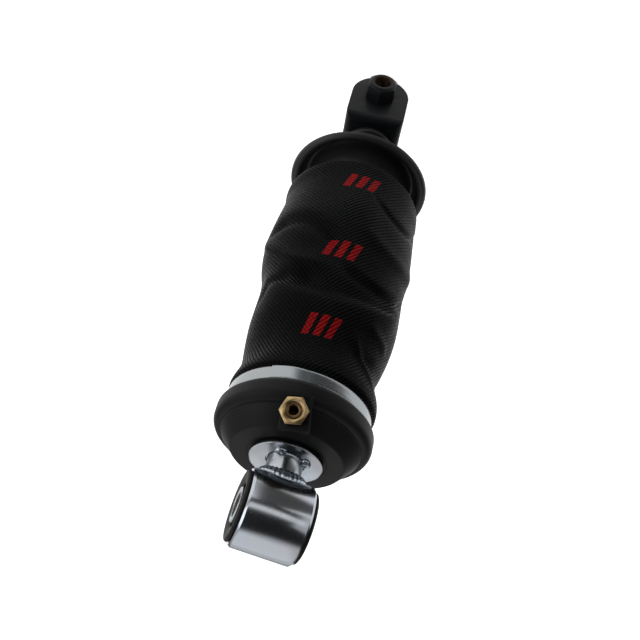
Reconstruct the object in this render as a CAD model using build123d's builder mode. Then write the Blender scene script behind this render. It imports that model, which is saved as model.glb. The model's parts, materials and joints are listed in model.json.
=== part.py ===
from build123d import *
import os
from math import cos, sin, radians, sqrt

# Cab air-spring damper. The origin is the centre of the fork's bolt hole, +Z runs up the
# damper to the eye, and +Y runs along the fork's bolt.

# ---- driving dimensions, in millimetres and degrees ----
eye_height = 305.5        # fork bolt to eye centre, fully extended
stroke = 60.0             # travel into compression
eye_turn = -12.45         # eye axis from +X, about +Z

fork_width = 38.4
fork_span = 48.8          # over the outer faces of the ears
fork_plate = 5.0
fork_bend = 5.5           # outer bend radius
fork_top = 25.9
fork_hole = 6.25
nut_flats = 18.0
nut_height = 11.4
nut_thread = 5.15         # wall radius of the tapped hole
nut_mouth = 6.05

stem_radius = 14.0
stem_spigot = 9.0
tube_bottom = 44.0
tube_top = 178.0
tube_radius = 22.0
tube_wall = 2.0
cylinder_bore = 14.0
cylinder_wall = 1.5

dish_radius = 44.35
dish_lip_height = 69.0
skirt_radius = 30.0       # where the bellows rolls
skirt_top = 150.0

limb_outer = 41.0         # middle of the outer limb's wall
limb_inner = 32.2         # middle of the inner limb's wall
bellows_wall = 1.8
fold_height = 88.0
clamp_low = 243.5
clamp_high = 251.2
clamp_radius = 39.4
clamp_wall = 1.3

flange_radius = 41.8
flange_low = 252.2
flange_high = 263.6
shoulder_radius = 36.8
shoulder_height = 264.6
crown_radius = 29.6
crown_height = 272.9
cap_ceiling = 262.0
cap_wall = 3.0

washer_radius = 19.24
washer_height = 275.5
neck_radius = 9.4
eye_radius = 19.9
eye_bore = 16.6
eye_length = 32.0
rubber_overhang = 2.2
sleeve_radius = 9.0
sleeve_bore = 6.15
sleeve_length = 36.6

rod_radius = 7.0
rod_tail = 5.0
piston_low = 150.0
piston_high = 160.0

port_radius = 36.8        # centre of the boss face, from the damper's axis
port_height = 267.8
port_tilt = 24.0          # fitting axis above the horizontal
spot_radius = 7.8         # spot face that clears the rim round the fitting
port_turn = 12.0          # fitting axis from -Y towards +X
boss_width = 15.0
boss_length = 17.4
boss_depth = 10.0
fitting_flats = 13.0
fitting_proud = 5.2
hose_radius = 2.1
shank_radius = 5.0

running = 0.05            # radial clearance of a running fit
gap = 0.3                 # clearance between parts that move apart

os.makedirs("parts", exist_ok=True)


def save(piece, name):
    """Label a finished piece and write it as its own STEP file."""
    piece.label = name
    export_step(piece, f"parts/{name}.step")


# ---- planes the sub-parts are drawn on ----
eye_direction = Vector(cos(radians(eye_turn)), sin(radians(eye_turn)), 0)
eye_plane = Plane(origin=(0, 0, eye_height), x_dir=(0, 0, 1), z_dir=eye_direction)
port_direction = Vector(
    sin(radians(port_turn)) * cos(radians(port_tilt)),
    -cos(radians(port_turn)) * cos(radians(port_tilt)),
    sin(radians(port_tilt)),
)
port_plane = Plane(
    origin=(0, -port_radius, port_height),
    x_dir=Vector(0, 0, 1).cross(port_direction),
    z_dir=port_direction,
)


def ring(plane, low, high, inner, outer):
    """A plain ring between two heights above a plane."""
    with BuildPart() as piece:
        with BuildSketch(plane.offset(low)):
            Circle(outer)
            if inner > 0:
                Circle(inner, mode=Mode.SUBTRACT)
        extrude(amount=high - low)
    return piece


def turned(points):
    """A piece turned about the damper's axis from an outline of (radius, height) points."""
    with BuildPart() as piece:
        with BuildSketch(Plane.XZ):
            with BuildLine():
                Polyline(*points, close=True)
            make_face()
        revolve(axis=Axis.Z)
    return piece


# ---- fork bracket, bent from plate ----
half_span = fork_span / 2
ear_end = fork_width / 2
with BuildPart() as fork_bracket:
    with BuildSketch(Plane.YZ):
        with BuildLine():
            Polyline(
                (-half_span, -ear_end),
                (-half_span, fork_top),
                (half_span, fork_top),
                (half_span, -ear_end),
                (half_span - fork_plate, -ear_end),
                (half_span - fork_plate, fork_top - fork_plate),
                (-half_span + fork_plate, fork_top - fork_plate),
                (-half_span + fork_plate, -ear_end),
                close=True,
            )
        make_face()
    extrude(amount=fork_width / 2, both=True)
    bends = fork_bracket.edges().filter_by(Axis.X).filter_by_position(Axis.Z, 10, fork_top)
    outer_bends = bends.group_by(Axis.Z)[-1]
    inner_bends = bends.group_by(Axis.Z)[-2]
    fillet(outer_bends, fork_bend)
    fillet(inner_bends, fork_bend - fork_plate)
    with BuildSketch(Plane.XZ):
        with Locations((0, ear_end)):
            Rectangle(fork_width, fork_width + fork_top, align=(Align.CENTER, Align.MIN))
        with Locations((0, 0)):
            Rectangle(fork_width, ear_end, align=(Align.CENTER, Align.MIN))
        Circle(ear_end)
    extrude(amount=fork_span, both=True, mode=Mode.INTERSECT)
    with BuildSketch(Plane.XZ):
        Circle(fork_hole)
    extrude(amount=fork_span, both=True, mode=Mode.SUBTRACT)
    with BuildSketch(Plane.XY.offset(fork_top)):
        Circle(stem_spigot)
    extrude(amount=-2 * fork_plate, mode=Mode.SUBTRACT)
save(fork_bracket.part, "fork_bracket")

# ---- weld nut on the front ear ----
nut_plane = Plane(origin=(0, -half_span, 0), x_dir=(1, 0, 0), z_dir=(0, -1, 0))
nut_corner = nut_flats / sqrt(3)
nut_chamfer = 1.0
with BuildPart() as fork_nut:
    with BuildSketch(nut_plane):
        RegularPolygon(nut_corner, 6, rotation=30)
        Circle(nut_thread, mode=Mode.SUBTRACT)
    extrude(amount=nut_height)
    with BuildSketch(Plane.YZ):
        with BuildLine():
            Polyline(
                (-half_span, 0),
                (-half_span, nut_corner + 1),
                (-half_span - nut_height + 2 * nut_chamfer, nut_corner),
                (-half_span - nut_height, nut_corner - 2 * nut_chamfer),
                (-half_span - nut_height, 0),
                close=True,
            )
        make_face()
    revolve(axis=Axis.Y, mode=Mode.INTERSECT)
    mouth = fork_nut.edges().filter_by(GeomType.CIRCLE).sort_by(Axis.Y)
    mouth = mouth.filter_by(lambda edge: abs(edge.radius - nut_thread) < 0.01)[0]
    chamfer(mouth, nut_mouth - nut_thread)
save(fork_nut.part, "fork_nut")

# ---- stem and its weld ----
plate_under = fork_top - fork_plate
stem = turned(
    [
        (0, plate_under),
        (stem_spigot, plate_under),
        (stem_spigot, fork_top),
        (stem_radius, fork_top),
        (stem_radius, tube_bottom),
        (0, tube_bottom),
    ]
)
save(stem.part, "fork_stem")
bead = 3.0
stem_weld = turned(
    [
        (stem_radius, fork_top),
        (stem_radius + bead, fork_top),
        (stem_radius + 0.5 * bead, fork_top + 0.5 * bead),
        (stem_radius, fork_top + bead),
    ]
)
save(stem_weld.part, "stem_weld")

# ---- damper tube, base cap, inner cylinder and base valve ----
base_height = 6.0
tube_inside = tube_radius - tube_wall
crimp_radius = 15.0
crimp = 1.5
damper_tube = turned(
    [
        (tube_inside, tube_bottom),
        (tube_radius, tube_bottom),
        (tube_radius, tube_top),
        (crimp_radius, tube_top),
        (crimp_radius, tube_top - crimp),
        (tube_inside, tube_top - crimp),
    ]
)
save(damper_tube.part, "damper_tube")
base_cap = ring(Plane.XY, tube_bottom, tube_bottom + base_height, 0, tube_inside)
save(base_cap.part, "tube_base_cap")

valve_low = tube_bottom + base_height
valve_flange = 4.0
cylinder_low = valve_low + valve_flange
cylinder_radius = cylinder_bore + cylinder_wall
valve_holes = 6
with BuildPart() as base_valve:
    with BuildSketch(Plane.XY.offset(valve_low)):
        Circle(tube_inside - 2)
    extrude(amount=valve_flange)
    with BuildSketch(Plane.XY.offset(cylinder_low)):
        Circle(cylinder_bore)
    extrude(amount=valve_flange)
    with PolarLocations(cylinder_bore * 0.6, valve_holes):
        Hole(1.4)
save(base_valve.part, "base_valve")

guide_low = 162.0
guide_flange = 167.0
seal_low = 173.0
inner_cylinder = ring(Plane.XY, cylinder_low, guide_flange, cylinder_bore, cylinder_radius)
save(inner_cylinder.part, "inner_cylinder")

# ---- rod guide and seal ----
rod_hole = rod_radius + running
rod_guide = turned(
    [
        (rod_hole, guide_low),
        (cylinder_bore, guide_low),
        (cylinder_bore, guide_flange),
        (tube_inside, guide_flange),
        (tube_inside, seal_low),
        (rod_hole, seal_low),
    ]
)
save(rod_guide.part, "rod_guide")
rod_seal = ring(Plane.XY, seal_low, tube_top - crimp, rod_hole, tube_inside)
save(rod_seal.part, "rod_seal")

# ---- rolling piston with its dish ----
lip_radius = 3.0
dish_floor = 60.0
with BuildPart() as rolling_piston:
    with BuildSketch(Plane.XZ):
        with BuildLine():
            dish_centre = dish_radius - lip_radius
            inner_wall = Line((tube_radius, skirt_top), (tube_radius, dish_floor - 10))
            foot = Line(inner_wall @ 1, (skirt_radius - 3, dish_floor - 10))
            flare = Spline(
                foot @ 1,
                (dish_centre - 3, dish_lip_height - 8.0),
                (dish_radius, dish_lip_height - lip_radius),
                tangents=((1, 0), (0, 1)),
            )
            lip = ThreePointArc(
                flare @ 1,
                (dish_centre, dish_lip_height),
                (dish_centre - lip_radius + 0.6, dish_lip_height - lip_radius),
            )
            bowl = Spline(
                lip @ 1,
                (skirt_radius + 4, dish_floor + 1),
                (skirt_radius, dish_lip_height - 1.0),
                tangents=((-0.4, -1), (0, 1)),
            )
            outer_wall = Line(bowl @ 1, (skirt_radius, skirt_top))
            Line(outer_wall @ 1, inner_wall @ 0)
        make_face()
    revolve(axis=Axis.Z)
save(rolling_piston.part, "rolling_piston")

# ---- bellows: outer limb, rolled fold and inner limb ----
half_wall = bellows_wall / 2
fold_radius = (limb_outer - limb_inner) / 2
fold_centre = (limb_outer + limb_inner) / 2
spigot_radius = clamp_radius - clamp_wall - bellows_wall
bellows_top = flange_low
waist_radius = 36.2       # middle of the wall, where the bellows narrows above its bulge
waist_height = 224.0
flare_radius = 38.3
flare_height = 235.0
inner_top = 144.0
waist_turn = spigot_radius + half_wall
with BuildPart() as bellows:
    with BuildSketch(Plane.XZ):
        with BuildLine():
            inside = Line((limb_inner, inner_top), (limb_inner, fold_height + fold_radius))
            fold = ThreePointArc(
                inside @ 1, (fold_centre, fold_height), (limb_outer, fold_height + fold_radius)
            )
            outside = Line(fold @ 1, (limb_outer, waist_height - 25))
            waist = Spline(
                outside @ 1,
                (waist_radius, waist_height),
                (flare_radius, flare_height),
                (waist_turn, clamp_low - 1.5),
                tangents=((0, 1), (0, 1)),
            )
            Line(waist @ 1, (waist_turn, bellows_top))
        trace(line_width=bellows_wall)
    revolve(axis=Axis.Z)
save(bellows.part, "bellows")

lower_clamp_inner = limb_inner + half_wall + gap
lower_clamp_outer = lower_clamp_inner + 1.2
lower_clamp = ring(Plane.XY, inner_top - 10, inner_top - 2, lower_clamp_inner, lower_clamp_outer)
save(lower_clamp.part, "lower_clamp_ring")
seat_outer = limb_inner - half_wall - gap
lower_seat = ring(Plane.XY, inner_top - 13, inner_top + 1, skirt_radius, seat_outer)
save(lower_seat.part, "bellows_seat_ring")

# ---- upper clamp ring and end cap ----
upper_clamp = ring(Plane.XY, clamp_low, clamp_high, clamp_radius - clamp_wall, clamp_radius)
save(upper_clamp.part, "upper_clamp_ring")

spigot_low = 240.5
cap_hole = 8.0
with BuildPart() as end_cap:
    with BuildSketch(Plane.XZ):
        with BuildLine():
            Polyline(
                (cap_hole, crown_height),
                (crown_radius, crown_height),
                (shoulder_radius, shoulder_height),
                (shoulder_radius, flange_high),
                (flange_radius, flange_high),
                (flange_radius, flange_low),
                (spigot_radius, flange_low),
                (spigot_radius, spigot_low),
                (spigot_radius - cap_wall, spigot_low),
                (spigot_radius - cap_wall, cap_ceiling - 4),
                (spigot_radius - cap_wall - 4, cap_ceiling),
                (cap_hole, cap_ceiling),
                close=True,
            )
        make_face()
    revolve(axis=Axis.Z)
    rims = end_cap.edges().filter_by(GeomType.CIRCLE)
    rims = rims.filter_by(lambda edge: abs(edge.radius - flange_radius) < 0.01)
    fillet(rims.sort_by(Axis.Z)[0], 2.4)
    fillet(rims.sort_by(Axis.Z)[-1], 4.6)
    shoulder = end_cap.edges().filter_by(GeomType.CIRCLE)
    shoulder = shoulder.filter_by(lambda edge: abs(edge.radius - shoulder_radius) < 0.01)
    fillet(shoulder.sort_by(Axis.Z)[-1], 1.6)
    with BuildSketch(port_plane):
        Rectangle(boss_width, boss_length)
    extrude(amount=-boss_depth)
    boss_face = end_cap.faces().sort_by(Axis(port_plane.origin, port_direction))[-1]
    chamfer(boss_face.edges().filter_by(GeomType.LINE), 0.4)
    with BuildSketch(port_plane):
        Circle(spot_radius)
    extrude(amount=boss_depth, mode=Mode.SUBTRACT)
    with BuildSketch(port_plane):
        Circle(shank_radius)
    extrude(amount=-2 * boss_depth, mode=Mode.SUBTRACT)
save(end_cap.part, "end_cap")

# ---- bump stop inside the cap ----
bump_low = tube_top + stroke + 1.5
bump_hole = rod_radius + 1.0
bump_bulge = 15.0
with BuildPart() as bump_stop:
    with BuildSketch(Plane.XZ):
        with BuildLine():
            top_edge = Line((bump_hole, cap_ceiling), (bump_bulge - 1, cap_ceiling))
            side = ThreePointArc(
                top_edge @ 1,
                (bump_bulge + 1, (cap_ceiling + bump_low) / 2),
                (bump_bulge - 3, bump_low),
            )
            bottom_edge = Line(side @ 1, (bump_hole, bump_low))
            Line(bottom_edge @ 1, top_edge @ 0)
        make_face()
    revolve(axis=Axis.Z)
save(bump_stop.part, "bump_stop")

# ---- piston rod, rebound ring, cap seal ----
rod_low = 142.0
rod_high = 281.0
rod_shoulder = piston_high + gap
piston_rod = turned(
    [
        (0, rod_low),
        (rod_tail, rod_low),
        (rod_tail, rod_shoulder),
        (rod_radius, rod_shoulder),
        (rod_radius, rod_high),
        (0, rod_high),
    ]
)
save(piston_rod.part, "piston_rod")
rebound_ring = ring(Plane.XY, rod_shoulder, guide_low - gap, rod_radius, rod_radius + 3)
save(rebound_ring.part, "rebound_ring")
cap_seal = ring(Plane.XY, crown_height - 4, crown_height - 1.5, rod_radius, cap_hole)
save(cap_seal.part, "cap_seal")

# ---- damper piston, its band and nut ----
band_low = 153.0
band_high = 157.0
band_seat = 12.8
piston_radius = cylinder_bore - 0.25
piston_holes = 6
with BuildPart() as damper_piston:
    with BuildSketch(Plane.XZ):
        with BuildLine():
            Polyline(
                (rod_tail + running, piston_low),
                (piston_radius, piston_low),
                (piston_radius, band_low),
                (band_seat, band_low),
                (band_seat, band_high),
                (piston_radius, band_high),
                (piston_radius, piston_high),
                (rod_tail + running, piston_high),
                close=True,
            )
        make_face()
    revolve(axis=Axis.Z)
    with PolarLocations((rod_tail + band_seat) / 2, piston_holes):
        Hole(1.3)
save(damper_piston.part, "damper_piston")
band = ring(Plane.XY, band_low, band_high, band_seat, cylinder_bore - running)
save(band.part, "piston_band")
rod_nut_flats = 16.0
rod_nut_height = 6.0
with BuildPart() as piston_nut:
    with BuildSketch(Plane.XY.offset(piston_low - gap)):
        RegularPolygon(rod_nut_flats / sqrt(3), 6)
        Circle(rod_tail, mode=Mode.SUBTRACT)
    extrude(amount=-rod_nut_height)
save(piston_nut.part, "piston_nut")

# ---- dished washer, neck and its weld ----
washer_low = crown_height
washer_dish = 1.0
stop_washer = turned(
    [
        (rod_radius, washer_low),
        (washer_radius - 1, washer_low),
        (washer_radius, washer_low + washer_dish),
        (washer_radius, washer_height),
        (washer_radius - 3, washer_height - 0.4),
        (rod_radius, washer_height - 0.4),
    ]
)
save(stop_washer.part, "stop_washer")

washer_face = washer_height - 0.4
with BuildPart() as eye_neck:
    with BuildSketch(Plane.XY.offset(washer_face)):
        Circle(neck_radius)
    extrude(amount=eye_height - washer_face)
    with BuildSketch(eye_plane):
        Circle(eye_radius)
    extrude(amount=eye_length, both=True, mode=Mode.SUBTRACT)
    with BuildSketch(Plane.XY.offset(washer_face)):
        Circle(rod_radius)
    extrude(amount=rod_high - washer_face, mode=Mode.SUBTRACT)
save(eye_neck.part, "eye_neck")

eye_bead = 2.2
with BuildPart() as eye_weld:
    with BuildSketch(Plane.XY.offset(washer_face)):
        Circle(neck_radius + eye_bead)
        Circle(neck_radius, mode=Mode.SUBTRACT)
    extrude(amount=eye_height - washer_face)
    with BuildSketch(eye_plane):
        Circle(eye_radius + eye_bead)
    extrude(amount=eye_length, both=True, mode=Mode.INTERSECT)
    with BuildSketch(eye_plane):
        Circle(eye_radius)
    extrude(amount=eye_length, both=True, mode=Mode.SUBTRACT)
save(eye_weld.part, "eye_weld")

tack_radius = 2.6
tack_turns = (-162.0, -72.0, 63.0)        # from +X
with BuildPart() as tack_welds:
    with BuildSketch(Plane.XY.offset(washer_face)):
        for tack_turn in tack_turns:
            with PolarLocations(neck_radius + 0.6, 1, start_angle=tack_turn):
                Circle(tack_radius)
    extrude(amount=0.45 * tack_radius)
    chamfer(tack_welds.faces().sort_by(Axis.Z)[-3:].edges(), 0.7)
    with BuildSketch(Plane.XY.offset(washer_face)):
        Circle(neck_radius)
    extrude(amount=2 * tack_radius, mode=Mode.SUBTRACT)
save(tack_welds.part, "tack_welds")

# ---- eye tube, rubber bush and sleeve ----
eye_chamfer = 0.8
with BuildPart() as eye_tube:
    with BuildSketch(eye_plane):
        Circle(eye_radius)
        Circle(eye_bore, mode=Mode.SUBTRACT)
    extrude(amount=eye_length / 2, both=True)
    ends = eye_tube.edges().filter_by(GeomType.CIRCLE)
    ends = ends.filter_by(lambda edge: abs(edge.radius - eye_radius) < 0.01)
    chamfer(ends, eye_chamfer)
save(eye_tube.part, "eye_tube")

lip_outer = 18.0
with BuildPart() as eye_rubber:
    with BuildSketch(eye_plane):
        Circle(eye_bore)
        Circle(sleeve_radius + running, mode=Mode.SUBTRACT)
    extrude(amount=eye_length / 2, both=True)
    for side in (1, -1):
        end_plane = Plane(
            origin=eye_plane.origin + eye_direction * side * eye_length / 2,
            x_dir=(0, 0, 1),
            z_dir=eye_direction * side,
        )
        with BuildSketch(end_plane):
            Circle(lip_outer)
            Circle(sleeve_radius + running, mode=Mode.SUBTRACT)
        extrude(amount=rubber_overhang)
save(eye_rubber.part, "eye_rubber")

with BuildPart() as eye_sleeve:
    with BuildSketch(eye_plane):
        Circle(sleeve_radius)
        Circle(sleeve_bore, mode=Mode.SUBTRACT)
    extrude(amount=sleeve_length / 2, both=True)
save(eye_sleeve.part, "eye_sleeve")

# ---- air fitting: body, seal, collet ----
fitting_corner = fitting_flats / sqrt(3)
collet_radius = 4.05
collet_travel = 1.0
seal_height = 1.0
shank_length = 9.0
collet_depth = 5.0
orifice_radius = 1.0
stop_depth = 5.0          # from the collet's foot to the hose stop
with BuildPart() as air_fitting:
    with BuildSketch(port_plane.offset(seal_height)):
        RegularPolygon(fitting_corner, 6)
    extrude(amount=fitting_proud - seal_height)
    with BuildSketch(port_plane.offset(seal_height)):
        Circle(shank_radius)
    extrude(amount=-shank_length - seal_height)
    with BuildSketch(port_plane.offset(fitting_proud)):
        Circle(collet_radius + running)
    extrude(amount=-collet_depth - collet_travel - gap, mode=Mode.SUBTRACT)
    with BuildSketch(port_plane.offset(fitting_proud)):
        Circle(hose_radius)
    extrude(amount=-collet_depth - stop_depth, mode=Mode.SUBTRACT)
    with BuildSketch(port_plane.offset(fitting_proud)):
        Circle(orifice_radius)
    extrude(amount=-fitting_proud - shank_length - 1, mode=Mode.SUBTRACT)
save(air_fitting.part, "air_fitting")
fitting_seal = ring(port_plane, 0, seal_height, shank_radius, shank_radius + 1.4)
save(fitting_seal.part, "fitting_seal")
collet = ring(port_plane, fitting_proud - collet_depth, fitting_proud - 0.2, hose_radius, collet_radius)
save(collet.part, "fitting_collet")
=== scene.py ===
# %% [markdown]
# # A cab air-spring damper
# This object carries one corner of a truck's cab. A fabric bellows full of air stands round an
# oil damper. A fork takes the lower bolt, and an eye with a rubber bush takes the upper one.
#
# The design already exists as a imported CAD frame. It says where each part is and how it moves,
# so the frame is loaded first and every place below is read from it. All lengths are in metres.

# %% Load the frame
import bpy
import json
import math
import numpy as np
from mathutils import Matrix, Vector


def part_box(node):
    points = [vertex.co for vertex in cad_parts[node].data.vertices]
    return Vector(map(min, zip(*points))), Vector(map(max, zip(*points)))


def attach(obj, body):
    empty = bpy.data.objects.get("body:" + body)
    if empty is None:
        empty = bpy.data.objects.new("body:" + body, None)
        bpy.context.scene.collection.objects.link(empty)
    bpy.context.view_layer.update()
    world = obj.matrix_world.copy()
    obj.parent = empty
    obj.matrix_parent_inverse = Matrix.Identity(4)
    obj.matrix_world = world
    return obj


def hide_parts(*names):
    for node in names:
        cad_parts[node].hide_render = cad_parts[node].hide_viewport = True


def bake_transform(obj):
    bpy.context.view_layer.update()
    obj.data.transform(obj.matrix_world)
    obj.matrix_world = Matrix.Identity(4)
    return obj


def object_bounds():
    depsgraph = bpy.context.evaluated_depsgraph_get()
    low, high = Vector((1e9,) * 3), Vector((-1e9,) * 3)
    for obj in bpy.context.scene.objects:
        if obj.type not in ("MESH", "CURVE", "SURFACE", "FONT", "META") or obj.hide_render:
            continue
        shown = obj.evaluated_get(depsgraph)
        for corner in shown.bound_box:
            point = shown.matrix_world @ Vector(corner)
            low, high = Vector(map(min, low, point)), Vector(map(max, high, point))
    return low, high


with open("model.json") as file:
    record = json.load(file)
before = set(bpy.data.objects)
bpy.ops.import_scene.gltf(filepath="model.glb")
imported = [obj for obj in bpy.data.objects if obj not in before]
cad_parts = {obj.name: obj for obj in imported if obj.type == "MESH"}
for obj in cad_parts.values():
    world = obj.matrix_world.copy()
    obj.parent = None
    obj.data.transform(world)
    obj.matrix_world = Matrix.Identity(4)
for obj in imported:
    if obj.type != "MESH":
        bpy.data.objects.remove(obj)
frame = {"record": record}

cad_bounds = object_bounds()

# %% [markdown]
# ## Camera, floor and light
# The camera looks down on the cap from in front, so the eye is the nearest part. It is placed by
# its own three directions: right, up and back. The light comes mostly from the sky, because plated
# steel shows nothing except what surrounds it. The sky is bright overhead and behind, with a long
# soft strip low in front, and it stays dark between them. That gives the eye tube its dark band.

# %% Camera
CAMERA_PLACE = Vector((-0.0139, -0.3937, 0.4924))
CAMERA_RIGHT = Vector((-0.9722, -0.1210, -0.2009)).normalized()
CAMERA_AHEAD = Vector((0.0307, 0.7838, -0.6203)).normalized()
CAMERA_LENS = 49.58       # millimetres, on a sensor 36 mm wide

camera_up = CAMERA_RIGHT.cross(CAMERA_AHEAD)
camera_data = bpy.data.cameras.new("camera")
camera_data.lens = CAMERA_LENS
camera = bpy.data.objects.new("camera", camera_data)
bpy.context.scene.collection.objects.link(camera)
camera_turn = Matrix((CAMERA_RIGHT, camera_up, -CAMERA_AHEAD)).transposed()
camera.matrix_world = Matrix.Translation(CAMERA_PLACE) @ camera_turn.to_4x4()
bpy.context.scene.camera = camera
print("camera is", round(CAMERA_PLACE.length, 3), "m from the fork")

# %% [markdown]
# Every finish in this scene is worked out by shader nodes. Node trees are long to write out, so a
# small class wraps a node's output, and plain arithmetic on it adds the nodes.

# %% Shader maths
class Wire:
    """The output of a shader node. Arithmetic on a wire adds Math nodes."""

    def __init__(self, tree, socket):
        self.tree = tree
        self.socket = socket

    def node(self, kind, settings=None, inputs=None, output=0):
        """Any node: its settings are set first, then the values or links of its inputs."""
        new = self.tree.nodes.new(kind)
        for name, value in (settings or {}).items():
            setattr(new, name, value)
        for name, value in (inputs or {}).items():
            feed(self.tree, new.inputs[name], value)
        return Wire(self.tree, new.outputs[output])

    def maths(self, operation, *others):
        """A Math node whose first value is this wire."""
        values = dict(enumerate((self, *others)))
        return self.node("ShaderNodeMath", {"operation": operation}, values)

    def dot(self, direction):
        """How far this vector reaches along a direction."""
        inputs = {0: self, 1: tuple(direction)}
        return self.node("ShaderNodeVectorMath", {"operation": "DOT_PRODUCT"}, inputs, 1)

    def __add__(self, other):
        return self.maths("ADD", other)

    def __sub__(self, other):
        return self.maths("SUBTRACT", other)

    def __rsub__(self, other):
        return self.node("ShaderNodeMath", {"operation": "SUBTRACT"}, {0: other, 1: self})

    def __mul__(self, other):
        return self.maths("MULTIPLY", other)

    __radd__ = __add__
    __rmul__ = __mul__


def feed(tree, socket, value):
    """Set an input to a number or colour, or link it to a wire."""
    if isinstance(value, Wire):
        tree.links.new(value.socket, socket)
    elif hasattr(socket.default_value, "__len__") and len(value) < len(socket.default_value):
        socket.default_value = (*value, 1.0)
    else:
        socket.default_value = value


def blank(name, **constants):
    """A new material, with its unchanging values set. Returns it, its shader and its coordinates."""
    material = bpy.data.materials.new(name)
    material.use_nodes = True
    tree = material.node_tree
    shader = tree.nodes["Principled BSDF"]
    for socket, value in constants.items():
        feed(tree, shader.inputs[socket.replace("_", " ")], value)
    coordinates = tree.nodes.new("ShaderNodeTexCoord")
    return material, shader, Wire(tree, coordinates.outputs["Object"])


def noise(place, scale, detail=3.0, roughness=0.5):
    """Cloudy values from 0 to 1. The scale is in clouds per metre."""
    inputs = {"Vector": place, "Scale": scale, "Detail": detail, "Roughness": roughness}
    return place.node("ShaderNodeTexNoise", {}, inputs)


def blend_colours(share, first, second):
    """The first colour where share is 0 and the second where it is 1."""
    return share.node("ShaderNodeMix", {"data_type": "RGBA"}, {0: share, 6: first, 7: second}, 2)


def ramp(value, low, high):
    """0 below low, 1 above high, and a smooth rise between them."""
    inputs = {"Value": value, "From Min": low, "From Max": high}
    return value.node("ShaderNodeMapRange", {"interpolation_type": "SMOOTHSTEP"}, inputs)


def bump(height, distance, strength=1.0):
    """A normal from a height of 0 to 1 that stands for distance metres."""
    inputs = {"Height": height, "Distance": distance, "Strength": strength}
    return height.node("ShaderNodeBump", {}, inputs)


# %% [markdown]
# The floor is one pale sheet that starts behind the camera and runs out far behind the damper. It
# glows a little by itself, so the shadow that the damper casts on it stays faint. One stretch of it
# in front is painted dark and glows less, as painted shade: the clamp strip and the eye tube mirror
# that stretch as grey.

# %% Floor
FLOOR_SIDE = 9.0
FLOOR_FRONT = -2.5        # the edge behind the camera
FLOOR_GLOW = 0.85
DIM_MIDDLE = -0.45        # along X
DIM_FRONT = 0.26          # along -Y, and it fades from here back to DIM_BACK
DIM_BACK = 0.12
DIM_HALF = 0.50
DIM_EDGE = 0.08

bpy.ops.object.select_all(action="DESELECT")
floor_height = cad_bounds[0][2]
bpy.ops.mesh.primitive_plane_add(size=FLOOR_SIDE)
floor = bpy.context.object
floor.name = "floor"
floor.data.transform(Matrix.Translation((0, FLOOR_FRONT + FLOOR_SIDE / 2, floor_height)))

floor_material, floor_shader, floor_place = blank("pale_floor", Roughness=0.9)
floor_shader.inputs["Emission Strength"].default_value = FLOOR_GLOW
aside = (floor_place.dot((1, 0, 0)) - DIM_MIDDLE).maths("ABSOLUTE")
within = 1.0 - ramp(aside, DIM_HALF - DIM_EDGE, DIM_HALF + DIM_EDGE)
# Painted shade: over this stretch in front, the floor's colour and glow are darkened.
shade = ramp(floor_place.dot((0, -1, 0)), DIM_BACK, DIM_FRONT) * within
floor_cloud = noise(floor_place, 3.0)
floor_colour = blend_colours(floor_cloud, (0.86, 0.86, 0.86), (0.9, 0.9, 0.9))
floor_colour = blend_colours(shade, floor_colour, (0.10, 0.105, 0.11))
feed(floor_material.node_tree, floor_shader.inputs["Base Color"], floor_colour)
glow = blend_colours(shade, (1.0, 1.0, 1.0), (0.03, 0.03, 0.03))
feed(floor_material.node_tree, floor_shader.inputs["Emission Color"], glow)
floor.data.materials.append(floor_material)

# %% Sky and lamps
world = bpy.data.worlds.new("studio")
bpy.context.scene.world = world
world.use_nodes = True
sky_tree = world.node_tree
sky_place = Wire(sky_tree, sky_tree.nodes.new("ShaderNodeTexCoord").outputs["Generated"])


def toward(direction, low, high):
    """1 where the sky lies along a direction, 0 away from it."""
    return ramp(sky_place.dot(Vector(direction).normalized()), low, high)


SKY_BASE = 0.02
SKY_TOP = 0.85            # overhead and behind
SKY_STRIP = 1.5           # a long soft box in front
SKY_SIDE = 0.7

over = toward((0.0, 0.62, 0.78), 0.60, 0.78)
ahead = toward((0.0, -1.0, 0.17), 0.55, 0.9)
rise = sky_place.dot((0, 0, 1))
low_band = ramp(rise, 0.06, 0.14) * (1.0 - ramp(rise, 0.26, 0.36))
side = toward((1.0, -0.15, 0.25), 0.62, 0.9)
brightness = SKY_BASE + SKY_TOP * over + SKY_STRIP * ahead * low_band + SKY_SIDE * side
background = sky_tree.nodes["Background"]
feed(sky_tree, background.inputs["Color"], (1.0, 1.0, 1.0))
feed(sky_tree, background.inputs["Strength"], brightness)


def softbox(name, place, size, power):
    """A square lamp that faces the middle of the damper."""
    data = bpy.data.lights.new(name, "AREA")
    data.size = size
    data.energy = power
    lamp = bpy.data.objects.new(name, data)
    bpy.context.scene.collection.objects.link(lamp)
    aim = Vector((0, 0, 0.15)) - Vector(place)
    lamp.matrix_world = Matrix.Translation(place) @ aim.to_track_quat("-Z", "Y").to_matrix().to_4x4()


softbox("key_box", (1.1, -0.5, 0.9), 0.9, 5)
softbox("fill_box", (-1.2, -0.7, 0.6), 0.9, 2)
softbox("top_box", (0.2, 0.7, 1.5), 1.6, 3)
bpy.context.scene.view_settings.view_transform = "Standard"
print("floor at", round(floor_height, 4), "m")

# %% [markdown]
# ## How the pieces are made
# Most of a damper is turned on a lathe or spun, so most pieces start as a circle. The circle's
# edge is extruded along the piece's outline and scaled at each step. Where the outline closes on
# itself the last ring is merged with the first. The outlines are in millimetres, as on a drawing.

# %% Helpers for shaping
MM = 0.001
ROUND = 128               # sides of a turned piece


def only(piece):
    """Select one object and nothing else."""
    if bpy.context.object and bpy.context.object.mode != "OBJECT":
        bpy.ops.object.mode_set(mode="OBJECT")
    bpy.ops.object.select_all(action="DESELECT")
    piece.select_set(True)
    bpy.context.view_layer.objects.active = piece


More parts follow.
